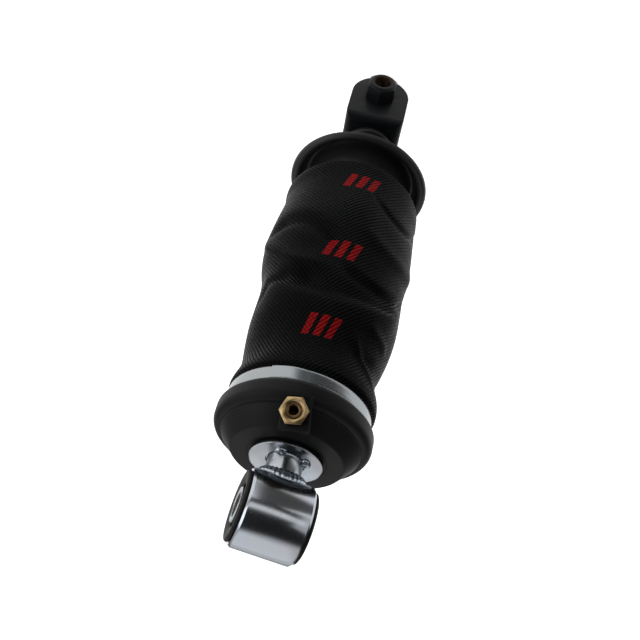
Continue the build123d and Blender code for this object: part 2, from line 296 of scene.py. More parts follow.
def clean(piece, angle=30):
    """Merge doubles, turn the faces outwards and shade them smoothly except at sharp edges."""
    only(piece)
    bpy.ops.object.mode_set(mode="EDIT")
    bpy.ops.mesh.select_all(action="SELECT")
    bpy.ops.mesh.remove_doubles(threshold=1e-6)
    bpy.ops.mesh.normals_make_consistent(inside=False)
    bpy.ops.object.mode_set(mode="OBJECT")
    bpy.ops.object.shade_smooth_by_angle(angle=math.radians(angle))
    return piece


def turned(name, outline, sides=ROUND, angle=30, solid=False):
    """Turn (radius, height) points in millimetres about the upright axis.

    A hollow piece closes its outline on itself. A solid one has its two ends filled instead."""
    bpy.ops.object.select_all(action="DESELECT")
    radius, height = outline[0]
    bpy.ops.mesh.primitive_circle_add(vertices=sides, radius=radius * MM)
    piece = bpy.context.object
    piece.name = name
    piece.data.transform(Matrix.Translation((0, 0, height * MM)))
    bpy.ops.object.mode_set(mode="EDIT")
    bpy.ops.mesh.select_all(action="SELECT")
    for next_radius, next_height in outline[1:] + ([] if solid else outline[:1]):
        lift = {"value": (0, 0, (next_height - height) * MM)}
        bpy.ops.mesh.extrude_edges_move(TRANSFORM_OT_translate=lift)
        scale = next_radius / radius
        centre = (0, 0, next_height * MM)
        bpy.ops.transform.resize(value=(scale, scale, 1), center_override=centre)
        radius, height = next_radius, next_height
    if solid:
        bpy.ops.mesh.select_all(action="SELECT")
        bpy.ops.mesh.fill_holes(sides=0)
    return clean(piece, angle)


def curve(start, handle, stop, steps=8):
    """Points of a smooth bend from start to stop that leans towards a handle."""
    shares = [i / steps for i in range(steps + 1)]
    return [
        tuple(
            (1 - t) ** 2 * a + 2 * t * (1 - t) * b + t**2 * c
            for a, b, c in zip(start, handle, stop)
        )
        for t in shares
    ]


def arc(radius, height, size, start, stop, steps=8):
    """Points of a round stretch of outline, about (radius, height), in degrees from outwards."""
    turns = [math.radians(start + (stop - start) * i / steps) for i in range(steps + 1)]
    return [(radius + size * math.cos(t), height + size * math.sin(t)) for t in turns]


def put(piece, matrix):
    """Place a piece that was made at the origin, and leave its object unmoved."""
    piece.data.transform(matrix)
    piece.data.update()
    return piece


def apply_all(piece):
    """Apply every modifier in order."""
    only(piece)
    for modifier in list(piece.modifiers):
        bpy.ops.object.modifier_apply(modifier=modifier.name)
    return piece


def carve(piece, tool, operation="DIFFERENCE"):
    """Cut a tool out of a piece, join it on, or keep what both share. The tool is used up."""
    modifier = piece.modifiers.new("carve", "BOOLEAN")
    modifier.operation = operation
    modifier.object = tool
    modifier.solver = "EXACT"
    apply_all(piece)
    bpy.data.objects.remove(tool)
    return piece


def soften(piece, width, steps=2, angle=30):
    """Round the sharp edges by a width in millimetres."""
    modifier = piece.modifiers.new("soften", "BEVEL")
    modifier.width = width * MM
    modifier.segments = steps
    modifier.limit_method = "ANGLE"
    modifier.angle_limit = math.radians(angle)
    return apply_all(piece)


def points(piece):
    """The piece's points as an array, in metres."""
    place = np.empty(len(piece.data.vertices) * 3)
    piece.data.vertices.foreach_get("co", place)
    return place.reshape(-1, 3)


def move_points(piece, place):
    piece.data.vertices.foreach_set("co", place.ravel())
    piece.data.update()


def fit(piece, body, slot, *nodes):
    """Hang a finished piece on the empty of the body it rides on, and hide the CAD nodes it replaces.
    The slot, what it is made of, is not used.
    """
    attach(piece, body)
    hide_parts(*nodes)
    print(piece.name, len(piece.data.polygons), "faces")


# %% [markdown]
# ## Places
# Lengths and places come from the boxes of the CAD nodes and from the mounts, which are the bores
# and threads that other products fit. The eye and the air fitting are made upright and then laid
# on their own axes, so each gets a matrix here.

# %% Where things are
fork_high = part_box("fork_bracket")[1]
nut_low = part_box("fork_nut")[0]
washer_low, washer_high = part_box("stop_washer")
ring_low, ring_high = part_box("upper_clamp_ring")
cap_low, cap_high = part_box("end_cap")
dish_low, dish_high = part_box("rolling_piston")
limb_low, limb_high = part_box("bellows")
mounts = {mount["name"]: mount for mount in frame["record"]["mounts"]}
eye_centre = Vector(mounts["eye_bore"]["pos_m"])
eye_axis = Vector(mounts["eye_bore"]["axis"])
port_axis = Vector(mounts["air_port"]["axis"])
print("eye", [round(v, 4) for v in eye_centre], "port axis", [round(v, 3) for v in port_axis])


def frame_on(centre, axis, across):
    """A place whose Z runs along an axis and whose X is across it."""
    z = axis.normalized()
    x = (across - z * across.dot(z)).normalized()
    return Matrix.Translation(centre) @ Matrix((x, z.cross(x), z)).transposed().to_4x4()


on_eye = frame_on(eye_centre, eye_axis, Vector((0, 0, 1)))
port_face = Vector((0, -36.8, 267.8)) * MM        # the middle of the boss's face
on_port = frame_on(port_face, port_axis, Vector((0, 0, 1)).cross(port_axis))

# %% [markdown]
# ## Finishes
# Each finish is a small function. Zinc plate is a mirror with a faint haze: its colour drifts
# between blue, straw and rose, because the plate was passivated. Black paint shows a little orange
# peel, moulded plastic has a fine grain, and rubber is dull with dust in it.

# %% Metals
def zinc_plate(name, base, haze, fleck=0.3):
    """Bright zinc on steel. Haze is its roughness, and fleck is how far its grain shows."""
    material, shader, place = blank(name, Metallic=1.0)
    cloud = noise(place, 55.0, 4.0)
    drift = noise(place, 26.0, 2.0, 0.4)
    speckle = noise(place, 1400.0, 2.0, 0.7)
    cool = blend_colours(ramp(drift, 0.38, 0.62), base, (base[0] * 0.97, base[1], base[2] * 1.03))
    straw = (base[0] * 1.12, base[1] * 1.02, base[2] * 0.84)
    rose = (base[0] * 1.10, base[1] * 0.93, base[2] * 0.96)
    warm = blend_colours(ramp(cloud, 0.42, 0.6), straw, rose)
    patch = ramp(noise(place, 18.0, 2.0), 0.5, 0.72)
    tint = blend_colours(patch * 0.7, cool, warm)
    dull = blend_colours(ramp(speckle, 0.55, 0.8) * fleck, tint, (0.20, 0.21, 0.23))
    tree = material.node_tree
    feed(tree, shader.inputs["Base Color"], dull)
    feed(tree, shader.inputs["Roughness"], haze + 0.08 * cloud + 0.3 * fleck * ramp(speckle, 0.5, 0.8))
    feed(tree, shader.inputs["Normal"], bump(speckle * 0.2 + noise(place, 320.0), 0.000008, 0.3))
    return material


def plain_metal(name, colour, haze, grain=900.0):
    """Machined or cast metal, with a grain of fine pits."""
    material, shader, place = blank(name, Metallic=1.0)
    pits = noise(place, grain, 3.0)
    worn = (colour[0] * 0.7, colour[1] * 0.7, colour[2] * 0.72)
    tree = material.node_tree
    feed(tree, shader.inputs["Base Color"], blend_colours(ramp(pits, 0.4, 0.8), colour, worn))
    feed(tree, shader.inputs["Roughness"], haze + 0.15 * pits)
    feed(tree, shader.inputs["Normal"], bump(pits, 0.00003, 0.4))
    return material


def turned_brass(name, bright, stained, painted_hole_shade=None):
    """Brass with a fine grain and stains.

    A hole's painted shade is given as a point, the axis out of it, and the reach where it fades."""
    material, shader, place = blank(name, Metallic=1.0)
    stain = noise(place, 260.0, 4.0)
    fine = noise(place, 2600.0, 2.0)
    tree = material.node_tree
    gold = blend_colours(ramp(stain, 0.35, 0.65), bright, stained)
    if painted_hole_shade:
        centre, axis, deep, shallow = painted_hole_shade
        # Painted shade: the brass darkens to a deep brown towards the bottom of the hole.
        reach = place.dot(axis) - centre.dot(axis)
        gold = blend_colours(ramp(reach, deep, shallow), (0.05, 0.028, 0.012), gold)
    feed(tree, shader.inputs["Base Color"], gold)
    feed(tree, shader.inputs["Roughness"], 0.26 + 0.16 * stain)
    feed(tree, shader.inputs["Normal"], bump(fine, 0.00002, 0.5))
    return material


# %% Paint, plastic and rubber
def black_coat(name, colour, rough, peel, depth, dust=0.3, shine=0.12):
    """A black surface. Peel is how fine its grain is, depth how deep, and dust how much shows."""
    material, shader, place = blank(name, Specular_IOR_Level=shine)
    skin = noise(place, peel, 3.0)
    cloud = noise(place, 40.0, 4.0)
    pale = (colour[0] * 1.9, colour[1] * 1.9, colour[2] * 1.9)
    tree = material.node_tree
    tone = blend_colours(ramp(cloud, 0.45, 0.8) * dust, colour, pale)
    feed(tree, shader.inputs["Base Color"], tone)
    feed(tree, shader.inputs["Roughness"], rough + 0.14 * cloud + 0.05 * skin)
    feed(tree, shader.inputs["Normal"], bump(skin, depth, 0.6))
    return material


def nut_coat(hole):
    """The fork's black paint, with a film of rust down a tapped hole of a given radius."""
    material, shader, place = blank("nut_paint", Specular_IOR_Level=0.12)
    tree = material.node_tree
    across = place.dot((1, 0, 0))
    upward = place.dot((0, 0, 1))
    reach = (across * across + upward * upward).maths("SQRT")
    skin = noise(place, 700.0)
    rust = blend_colours(skin, (0.035, 0.019, 0.012), (0.06, 0.035, 0.024))
    coat = blend_colours(skin, (0.004, 0.0045, 0.0055), (0.007, 0.0075, 0.009))
    outside = ramp(reach, hole, hole + 0.2 * MM)
    feed(tree, shader.inputs["Base Color"], blend_colours(outside, rust, coat))
    feed(tree, shader.inputs["Roughness"], 0.34 + 0.12 * skin)
    feed(tree, shader.inputs["Normal"], bump(skin, 0.00003, 0.6))
    return material


nut_paint = nut_coat(6.0 * MM)
plated = zinc_plate("zinc_plate", (0.36, 0.38, 0.405), 0.15)
plated_weld = zinc_plate("zinc_weld", (0.38, 0.41, 0.45), 0.20)
plated_ends = zinc_plate("zinc_serrated", (0.36, 0.37, 0.375), 0.30)
strip_steel = zinc_plate("galvanised_strip", (0.25, 0.262, 0.265), 0.22, 0.1)
machined = plain_metal("machined_steel", (0.5, 0.5, 0.5), 0.3)
chromed = plain_metal("hard_chrome", (0.8, 0.8, 0.82), 0.08, 300.0)
cast = plain_metal("cast_aluminium", (0.62, 0.62, 0.63), 0.35, 500.0)
paint = black_coat("black_paint", (0.004, 0.0045, 0.0055), 0.34, 700.0, 0.00003)
satin = black_coat("black_satin", (0.011, 0.011, 0.0115), 0.34, 900.0, 0.00002, 0.3, 0.3)
moulded = black_coat("moulded_cap", (0.0045, 0.0045, 0.005), 0.42, 1800.0, 0.00003)
rubber = black_coat("black_rubber", (0.005, 0.005, 0.005), 0.62, 1200.0, 0.00005)
bush = black_coat("bush_rubber", (0.012, 0.011, 0.0105), 0.52, 800.0, 0.00005, 0.6)
fitting_hole_shade = (port_face, port_axis, 3.6 * MM, 5.0 * MM)
brass = turned_brass("turned_brass", (0.38, 0.275, 0.14), (0.29, 0.20, 0.095), fitting_hole_shade)
# A darker copy of the brass for the collet, as painted shade down in the fitting's recess.
brass_in_painted_shade = turned_brass("brass_in_painted_shade", (0.11, 0.068, 0.03), (0.07, 0.04, 0.017))
foam = black_coat("bump_foam", (0.45, 0.38, 0.24), 0.7, 1600.0, 0.0001)
band = black_coat("slide_band", (0.12, 0.06, 0.04), 0.4, 900.0, 0.00002)
print(len(bpy.data.materials), "materials")

# %% [markdown]
# ## The eye
# The eye is a short steel tube. A rubber bush is bonded inside it, and a steel sleeve runs through
# the bush. The bracket's ears clamp on the sleeve's ends, so those ends are serrated and can't
# turn. All three are turned upright first and then laid on the eye's axis.

# %% Eye tube
EYE_CHAMFER = 1.0
eye_radius = (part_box("eye_tube")[1].z - eye_centre.z) / MM
tube_half = 16.0
inner_radius = 16.6

eye_outline = [
    (inner_radius, -tube_half + 0.5),
    (inner_radius + 0.5, -tube_half),
    (eye_radius - EYE_CHAMFER, -tube_half),
    (eye_radius - 0.25, -tube_half + EYE_CHAMFER - 0.15),
    (eye_radius, -tube_half + EYE_CHAMFER + 0.35),
    (eye_radius, tube_half - EYE_CHAMFER - 0.35),
    (eye_radius - 0.25, tube_half - EYE_CHAMFER + 0.15),
    (eye_radius - EYE_CHAMFER, tube_half),
    (inner_radius + 0.5, tube_half),
    (inner_radius, tube_half - 0.5),
]
eye_tube = put(turned("eye_ring", eye_outline, 160), on_eye)
eye_tube.data.materials.append(plated)
fit(eye_tube, "head", "zinc_steel", "eye_tube")

# %% Rubber bush
sleeve_radius = 9.0
lip = 18.0
overhang = 18.15


def bush_end(side):
    """The outline of one end of the bush, from the eye tube in to the groove round the sleeve."""
    outline = [
        (inner_radius, tube_half - 0.3),
        (lip - 0.8, tube_half + 0.05),
        (lip - 0.15, tube_half + 0.5),
        (lip, tube_half + 1.1),
        (lip - 0.35, overhang - 0.35),
        (lip - 1.0, overhang),
        (lip - 3.0, overhang - 0.1),
        (sleeve_radius + 2.8, overhang - 0.7),
        (sleeve_radius + 2.0, overhang - 1.2),
        (sleeve_radius + 1.6, overhang - 2.6),
        (sleeve_radius + 1.3, overhang - 4.2),
        (sleeve_radius + 0.05, overhang - 4.4),
    ]
    return [(radius, side * height) for radius, height in outline]


bush_piece = put(turned("bush_ring", bush_end(1) + bush_end(-1)[::-1], 128, 40), on_eye)
bush_piece.data.materials.append(bush)
fit(bush_piece, "head", "bush_rubber", "eye_rubber")

# %% Serrated sleeve
TEETH = 60
TOOTH_DEPTH = 0.45
sleeve_half = 18.3
sleeve_bore = mounts["eye_bore"]["dims"]["r_mm"]

sleeve_outline = [
    (sleeve_bore, -sleeve_half + 0.4),
    (sleeve_bore + 0.4, -sleeve_half),
    (sleeve_radius - 0.4, -sleeve_half),
    (sleeve_radius, -sleeve_half + 0.4),
    (sleeve_radius, sleeve_half - 0.4),
    (sleeve_radius - 0.4, sleeve_half),
    (sleeve_bore + 0.4, sleeve_half),
    (sleeve_bore, sleeve_half - 0.4),
]
sleeve = turned("bush_sleeve_tube", sleeve_outline, TEETH * 4, 25)
place = points(sleeve)
ends = np.abs(np.abs(place[:, 2]) - sleeve_half * MM) < 0.05 * MM
step = np.rint(np.arctan2(place[:, 1], place[:, 0]) / (2 * math.pi) * TEETH * 4) % 4
dip = np.where(step == 2, 1.0, np.where(step == 0, 0.0, 0.5)) * TOOTH_DEPTH * MM
place[:, 2] -= np.where(ends, np.sign(place[:, 2]) * dip, 0)
move_points(sleeve, place)
clean(sleeve, 20)
put(sleeve, on_eye)
sleeve.data.materials.append(plated_ends)
fit(sleeve, "bush_sleeve", "sleeve_steel", "eye_sleeve")

# %% [markdown]
# ## Washer, neck and welds
# The rod's end is a round neck, welded to the eye with one bead. The washer at its foot is pressed
# from sheet, with a low rim. Both are turned.

# %% Stop washer
washer_radius = washer_high.x / MM
washer_foot = washer_low.z / MM
washer_top = washer_high.z / MM
neck_radius = 9.4
washer_hole = 7.6

washer_outline = [
    (washer_hole, washer_foot),
    (washer_radius - 1.2, washer_foot),
    (washer_radius - 0.3, washer_foot + 0.7),
    (washer_radius, washer_top - 0.9),
    (washer_radius - 0.12, washer_top - 0.25),
    (washer_radius - 0.55, washer_top),
    (washer_radius - 1.3, washer_top - 0.02),
    (washer_radius - 2.6, washer_top - 0.42),
    (washer_radius - 6.0, washer_top - 0.62),
    (neck_radius + 1.1, washer_top - 0.62),
    (neck_radius + 0.75, washer_top - 1.5),
    (washer_hole, washer_top - 1.5),
]
washer = turned("washer_disc", washer_outline)
washer.data.materials.append(plated)
fit(washer, "head", "zinc_steel", "stop_washer")

# %% Neck
neck_foot = washer_top - 1.4
neck_top = eye_centre.z / MM - eye_radius + 1.4
neck_bore = 7.4           # the rod's end fills it

neck_outline = [
    (neck_bore, neck_foot),
    (neck_radius + 0.3, neck_foot),
    (neck_radius + 0.3, neck_foot + 0.9),
    (neck_radius, neck_foot + 1.6),
    (neck_radius, neck_top),
    (neck_bore, neck_top),
]
neck = turned("neck_stub", neck_outline)
neck.data.materials.append(plated)
fit(neck, "head", "zinc_steel", "eye_neck")

# %% [markdown]
# The bead follows the eye's curved wall, so it starts as a torus whose points are then lowered onto
# that wall. Three tacks hold the washer at the neck's foot. Each is a flattened ball with lumps and
# a dimple, as a weld pool leaves when it cools.

# %% Weld bead
WELD_SIZE = 2.9
WELD_DROP = 0.9           # how far the bead hangs below the wall's surface
RIPPLES = 30


def weld_ring(name, radius, size, ripples):
    """A round bead whose surface swells at each ripple of the weld pool."""
    bpy.ops.object.select_all(action="DESELECT")
    bpy.ops.mesh.primitive_torus_add(
        major_radius=radius * MM,
        minor_radius=size * MM,
        major_segments=8 * ripples,
        minor_segments=20,
    )
    bead = bpy.context.object
    bead.name = name
    place = points(bead)
    angle = np.arctan2(place[:, 1], place[:, 0])
    swell = 1 + 0.09 * np.cos(ripples * angle) + 0.10 * np.sin(3 * angle + 0.8)
    reach = (np.hypot(place[:, 0], place[:, 1]) - radius * MM) * swell + radius * MM
    place[:, 0] = reach * np.cos(angle)
    place[:, 1] = reach * np.sin(angle)
    place[:, 2] *= swell
    move_points(bead, place)
    return bead


bead = weld_ring("eye_bead", neck_radius + 0.5, WELD_SIZE, RIPPLES)
place = points(bead)
offset = place[:, 0] * -eye_axis.y + place[:, 1] * eye_axis.x
place[:, 2] += eye_centre.z - np.sqrt((eye_radius * MM) ** 2 - offset**2) - WELD_DROP * MM
move_points(bead, place)
clean(bead, 60)
bead.data.materials.append(plated_weld)
fit(bead, "head", "weld_steel", "eye_weld")

# %% Tack welds
TACK_TURNS = (-162.0, -72.0, 63.0)        # degrees from +X
TACK_SIZE = 3.1
TACK_SHAPE = (0.85, 1.1, 0.6)
DIMPLE_SIZE = 1.1

tacks = []
for number, tack_turn in enumerate(TACK_TURNS):
    bpy.ops.object.select_all(action="DESELECT")
    bpy.ops.mesh.primitive_uv_sphere_add(segments=40, ring_count=24, radius=TACK_SIZE * MM)
    tack = bpy.context.object
    place = points(tack) * np.array(TACK_SHAPE)
    lump = np.sin(place[:, 0] * 1500 + number) * np.cos(place[:, 1] * 1300 + 2 * number)
    dimple = np.exp(-(place[:, 0] ** 2 + place[:, 1] ** 2) / (DIMPLE_SIZE * MM) ** 2)
    place[:, 2] += (0.15 * lump - 0.7 * dimple * (place[:, 2] > 0)) * MM
    move_points(tack, place)
    around = Matrix.Rotation(math.radians(tack_turn), 4, "Z")
    outward = Matrix.Translation(((neck_radius + 1.3) * MM, 0, (washer_top - 0.6) * MM))
    put(tack, around @ outward)
    tacks.append(tack)
only(tacks[0])
for tack in tacks:
    tack.select_set(True)
bpy.ops.object.join()
tack_group = bpy.context.object
tack_group.name = "washer_tacks"
clean(tack_group, 60)
tack_group.data.materials.append(plated_weld)
fit(tack_group, "head", "weld_steel", "tack_welds")

# %% [markdown]
# ## The cap
# The cap is a moulded cup. Its rim stands proud of the clamp ring, and a block on its shoulder
# carries the air fitting. The cup is turned, and the block is a bevelled cube joined on.

# %% Cap
crown = washer_foot
crown_radius = 29.6
shoulder_radius = 36.8
shoulder = crown - 8.3
rim_radius = cap_high.x / MM
rim_top = crown - 9.3
rim_foot = ring_high.z / MM + 1.0
spigot_radius = 36.3
cup_wall = 3.0
rod_hole = 8.2
spigot_foot = cap_low.z / MM

cap_outline = [
    (spigot_radius - cup_wall, spigot_foot),
    (spigot_radius, spigot_foot),
    (spigot_radius, rim_foot - 1.2),
    (39.2, rim_foot - 1.2),
    (39.6, rim_foot + 0.1),
    *arc(rim_radius - 2.2, rim_foot + 2.3, 2.2, -80, 0, 6),
    *arc(rim_radius - 4.8, rim_top - 4.8, 4.8, 5, 85, 9),
    (shoulder_radius + 0.15, rim_top + 0.05),
    (shoulder_radius, rim_top + 0.2),
    *arc(shoulder_radius - 1.5, shoulder - 0.7, 1.5, 0, 48, 5),
    *arc(crown_radius - 0.6, crown - 1.4, 1.4, 52, 88, 4),
    (21.0, crown),
    (20.6, crown - 0.25),
    (rod_hole, crown - 0.25),
    (rod_hole, crown - 11.0),
    (spigot_radius - cup_wall - 4, crown - 11.0),
    (spigot_radius - cup_wall, crown - 15.0),
]
cap = turned("moulded_cap", cap_outline, 160, 35)

# %% Boss for the fitting
BOSS_WIDTH = 15.0
BOSS_LENGTH = 17.4
BOSS_DEPTH = 9.0
SPOT_RADIUS = 7.8         # the flat turned round the hole
DRILL_RADIUS = 5.0

bpy.ops.object.select_all(action="DESELECT")
bpy.ops.mesh.primitive_cube_add(size=1)
boss = bpy.context.object
boss.name = "boss"
size = Matrix.Diagonal((BOSS_WIDTH * MM, BOSS_LENGTH * MM, BOSS_DEPTH * MM, 1))
put(boss, Matrix.Translation((0, 0, -BOSS_DEPTH / 2 * MM)) @ size)
soften(boss, 0.7, 3)
put(boss, on_port)
carve(cap, boss, "UNION")

for radius, foot, sides in ((SPOT_RADIUS, 0, 96), (DRILL_RADIUS, -BOSS_DEPTH, 64)):
    cutter = turned("cutter", [(radius, foot), (radius, BOSS_DEPTH)], sides, solid=True)
    carve(cap, put(cutter, on_port))
clean(cap, 32)
cap.data.materials.append(moulded)
fit(cap, "head", "cap_plastic", "end_cap")

# %% [markdown]
# ## The air fitting
# A hexagon of brass screws into the boss. Its face is turned to a chamfer and a shallow recess,
# and a loose collet sits in the recess and grips the hose. A turned cone trims the hexagon's
# corners, as on any machined nut.

# %% Brass body
HEX_FLATS = 13.0
HEX_PROUD = 5.2
HEX_FOOT = 1.0
HEX_TURN = 3.6            # degrees, where the thread ran tight


def hexagon(name, flats, foot, top, trim, trim_depth):
    """A hexagonal bar from foot to top, its upper corners trimmed by a turned cone."""
    corner = flats / math.sqrt(3)
    bar = turned(name, [(corner, foot), (corner, top)], 6, solid=True)
    put(bar, Matrix.Rotation(math.radians(90), 4, "Z"))
    slope = (corner - trim) / trim_depth
    flare = trim + slope * (top - foot + 2)
    cone = turned("cone", [(flare, foot - 2), (trim - slope, top + 1)], 96, solid=True)
    put(cone, Matrix.Rotation(math.radians(1.3), 4, "Z"))    # no two edges meet exactly
    return carve(bar, cone, "INTERSECT")


fitting = hexagon("brass_fitting", HEX_FLATS, HEX_FOOT, HEX_PROUD, 6.35, 0.65)
face = HEX_PROUD
shank = turned("shank", [(4.4, -9.0), (5.0, -8.2), (5.0, HEX_FOOT + 0.3)], 64, solid=True)
carve(fitting, shank, "UNION")
bore_outline = [
    (1.0, -10.0),
    (1.0, face - 9.0),
    (2.1, face - 9.0),
    (2.1, face - 6.3),
    (4.12, face - 6.3),
    (4.12, face - 0.7),
    (4.5, face - 0.55),
    (5.2, face + 0.1),
    (5.4, face + 1.0),
]
carve(fitting, turned("bore", bore_outline, 96, solid=True))
soften(fitting, 0.12, 2, 40)
clean(fitting, 30)
put(fitting, on_port @ Matrix.Rotation(math.radians(HEX_TURN), 4, "Z"))
fitting.data.materials.append(brass)
fit(fitting, "head", "fitting_brass", "air_fitting")

# %% Collet and seal
collet_face = face - 0.35
collet_foot = face - 5.0
collet = turned(
    "hose_collet",
    [
        (2.1, collet_foot),
        (4.05, collet_foot),
        (4.05, collet_face - 0.3),
        (3.8, collet_face - 0.05),
        (3.4, collet_face),
        (2.75, collet_face),
        (2.4, collet_face - 0.2),
        (2.1, collet_face - 0.8),
    ],
    96,
)
put(collet, on_port)
collet.data.materials.append(brass_in_painted_shade)
fit(collet, "collet", "fitting_brass", "fitting_collet")

seal_ring = turned("port_seal", [(5.0, 0.0), (6.2, 0.0), (6.45, 0.5), (6.2, 1.0), (5.0, 1.0)], 64)
put(seal_ring, on_port)
seal_ring.data.materials.append(rubber)
fit(seal_ring, "head", "black_rubber", "fitting_seal")

# %% [markdown]
# ## The bellows
# The bellows is a tube of rubbered cord. Its lower end rolls back on itself round the piston, and
# without air it sags into soft folds. Cloth simulation could find such folds, but it wouldn't lay
# them where this bellows has them. So they are placed one by one: each is a ridge or a valley added to
# the tube's radius, and only those at the back are thrown with seeded dice. Heights and radii are
# in millimetres.

# %% Sizes of the cloth
AROUND = 220              # faces round it
ALONG = 186               # faces along it
SHEET = 1.8               # its thickness
CREASE_SHARE = 0.78       # how deep all the creases are, against their listed depth
FOLD_MIDDLE = 36.6        # radius at the lowest point of the roll
FOLD_SIZE = 5.3           # the roll's own radius
cloth_foot = limb_low.z / MM + FOLD_SIZE
cloth_top = limb_high.z / MM
fold_length = math.pi * FOLD_SIZE
cloth_length = fold_length + cloth_top - cloth_foot
clamp_foot = ring_low.z / MM
clamp_inside = 38.05
print("the cloth is", round(cloth_length, 1), "mm long")

# %% Outline and creases
# The outline of each side, as (height, radius).
LEFT_SIDE = [
    (89, 41.0), (104, 40.9), (121, 43.0), (134, 44.1), (146, 43.8), (156, 42.2), (164, 39.7),
    (174, 38.5), (200, 38.8), (213, 37.7), (223, 36.3), (230, 36.2), (236, 38.2), (241, 39.4),
]
RIGHT_SIDE = [
    (89, 42.0), (99, 42.3), (110, 42.3), (126, 43.3), (140, 43.8), (152, 42.8), (165, 42.7),
    (177, 43.0), (188, 42.7), (199, 41.2), (211, 38.6), (221, 36.2), (229, 38.4), (235, 40.8),
    (241, 40.0),
]


def smooth(value, low, high):
    share = np.clip((value - low) / (high - low), 0, 1)
    return share * share * (3 - 2 * share)


def side_profile(height, outline):
    """A side's radius at each height, with the corners of its outline rounded off."""
    heights, radii = zip(*outline)
    shifts = np.linspace(-4, 4, 9)
    return sum(np.interp(height + shift, heights, radii) for shift in shifts) / len(shifts)


def crease(turn, height, path, depth, below, above, fade=12):
    """A ridge, or a valley if depth is negative, along a path of (turn, height) points.

    Below and above are its widths towards the fork and towards the eye. It fades out at both ends,
    over about that many degrees."""
    turns, heights = zip(*path)
    middle = np.polyval(np.polyfit(turns, heights, min(2, len(path) - 1)), turn)
    offset = height - middle
    width = np.where(offset < 0, below, above)
    start = smooth(turn, turns[0] - fade, turns[0] + fade / 2)
    stop = 1 - smooth(turn, turns[-1] - fade / 2, turns[-1] + fade)
    return CREASE_SHARE * depth * np.exp(-((offset / width) ** 2)) * start * stop


def dent(turn, height, middle, size, depth):
    """A round hollow about (turn, height), of a size in the same two units."""
    across = (turn - middle[0]) / size[0]
    along = (height - middle[1]) / size[1]
    return -depth * np.exp(-(across**2) - along**2)


# A path of (turn, height), its depth, its widths below and above, and its fade.
CREASES = (
    ([(-60, 179), (-45, 186), (-12, 199), (19, 198), (54, 188), (64, 184)], 3.2, 4.6, 11.0, 18),
    ([(-24, 187), (5, 189), (28, 189), (55, 182)], -3.2, 8.0, 3.5, 12),
    ([(12, 174), (32, 179), (56, 174), (82, 161)], -2.6, 3.0, 4.0, 12),
    ([(-72, 149), (-44, 165), (-11, 174)], 2.8, 7.0, 4.6, 16),
    ([(-66, 185), (-40, 180), (-16, 182)], -2.6, 5.0, 5.0, 12),
    ([(-62, 139), (-30, 143), (-5, 156)], -3.4, 6.0, 4.0, 12),
    ([(20, 146), (48, 150), (84, 142)], 1.6, 6.0, 5.0, 12),
    ([(22, 118), (50, 124), (84, 105)], -1.6, 2.4, 3.0, 12),
    ([(33, 215), (59, 229)], 1.6, 3.0, 3.0, 8),
    ([(42, 203), (66, 204)], 1.3, 3.0, 3.0, 8),
    ([(38, 221), (56, 218)], -1.3, 3.0, 3.0, 8),
)
BACK_CREASES = 14


def cloth_radius(turn, height):
    """The cloth's outer radius in millimetres. Turn is in degrees from the front."""
    share = 0.5 + 0.5 * np.sin(np.radians(turn))
    radius = (1 - share) * side_profile(height, LEFT_SIDE)
    radius += share * side_profile(height, RIGHT_SIDE)
    for path, *sizes in CREASES:
        radius += crease(turn, height, path, *sizes)
    radius += dent(turn, height, (-40, 214), (24, 14), 2.4)
    radius += dent(turn, height, (8, 126), (16, 16), -2.0)
    wrapped = np.where(turn < 0, turn + 360, turn)
    for _ in range(BACK_CREASES):
        turns = dice.uniform(96, 200) + np.array((0, 28, 60)) * dice.uniform(0.6, 1.1)
        heights = dice.uniform(108, 222) + np.array((0, 9, 0)) * dice.uniform(-1.2, 1.2)
        depth = dice.choice((-1, 1)) * dice.uniform(1.0, 2.2)
        path = list(zip(turns, heights))
        radius += crease(wrapped, height, path, depth, dice.uniform(3, 6), dice.uniform(3, 6))
    return radius


# %% [markdown]
# A flat grid is wrapped into a tube, so its texture map stays a clean sheet: one way runs round the
# damper and the other along it. The first stretch of the sheet is the roll at the bottom. The cloth
# takes its creases above the roll, and the clamp holds it round at the top. Solidify then gives the
# sheet its thickness.

# %% Bellows
dice = np.random.default_rng(7)
bpy.ops.object.select_all(action="DESELECT")
bpy.ops.mesh.primitive_grid_add(x_subdivisions=AROUND, y_subdivisions=ALONG, size=1)
cloth = bpy.context.object
cloth.name = "bellows_cloth"
sheet = points(cloth)
turn = -360 * sheet[:, 0]
travel = (sheet[:, 1] + 0.5) * cloth_length
roll = np.clip(travel / fold_length, 0, 1) * math.pi
height = cloth_foot - FOLD_SIZE * np.sin(roll) + np.clip(travel - fold_length, 0, None)
rolled = FOLD_MIDDLE - FOLD_SIZE * np.cos(roll)
free = smooth(height, cloth_foot, cloth_foot + 8) * (travel > fold_length)
reach = rolled + (cloth_radius(turn, height) - rolled) * free
held = smooth(height, clamp_foot - 3.4, clamp_foot - 0.4)
reach = reach + (clamp_inside - reach) * held
place = np.column_stack((
    -reach * np.sin(np.radians(turn)),
    -reach * np.cos(np.radians(turn)),
    height,
))
move_points(cloth, place * MM)
only(cloth)
bpy.ops.object.mode_set(mode="EDIT")
bpy.ops.mesh.select_all(action="SELECT")
bpy.ops.mesh.remove_doubles(threshold=1e-6)
bpy.ops.object.mode_set(mode="OBJECT")
thicken = cloth.modifiers.new("thicken", "SOLIDIFY")
thicken.thickness = SHEET * MM
thicken.offset = -1
apply_all(cloth)
bpy.ops.object.shade_smooth()
print("cloth radius from", round(reach.min(), 1), "to", round(reach.max(), 1), "mm")

# %% [markdown]
# The cloth's ribs are the cords under its rubber skin. They run round it in two spirals that cross
# at right angles, and each side shows one spiral more than the other. Three printed marks run down
# the front: each is a row of slanted bars, broken up by the ribs.

